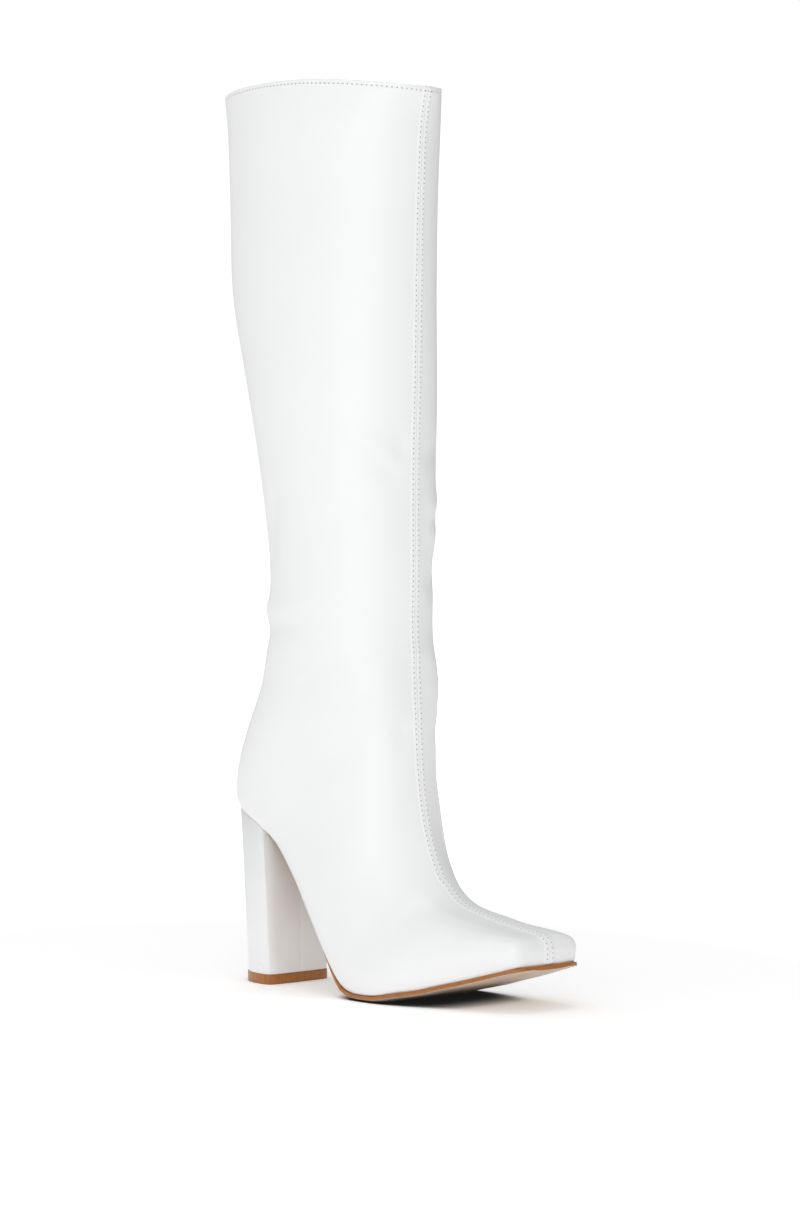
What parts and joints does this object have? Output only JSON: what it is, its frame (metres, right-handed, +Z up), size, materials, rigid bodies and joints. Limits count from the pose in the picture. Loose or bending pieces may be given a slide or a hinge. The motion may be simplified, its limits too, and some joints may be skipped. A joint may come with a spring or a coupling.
{
  "type": "knee-high block-heel boot",
  "caption": "Knee-high boot with a square toe, a stitched front seam, a thin outsole and a tall covered block heel.",
  "frame": {"origin": "centre of the heel's face on the floor", "axes": "+Z up, +X to the toe, +Y to the inner side of the foot, as this is the right boot"},
  "size_m": [0.2332, 0.0936, 0.487],
  "materials": {
    "upper": "white glossy smooth faux leather",
    "insole": "pale smooth sock over a board",
    "outsole": "beige underside with a painted brown edge",
    "heel_cover": "white glossy faux leather glued over a moulded core",
    "top_piece": "satin brown moulded rubber"
  },
  "bodies": {
    "root": {"upper": "upper", "insole": "insole", "outsole": "outsole", "heel": "heel_cover", "top_piece": "top_piece"}
  },
  "joints": []
}
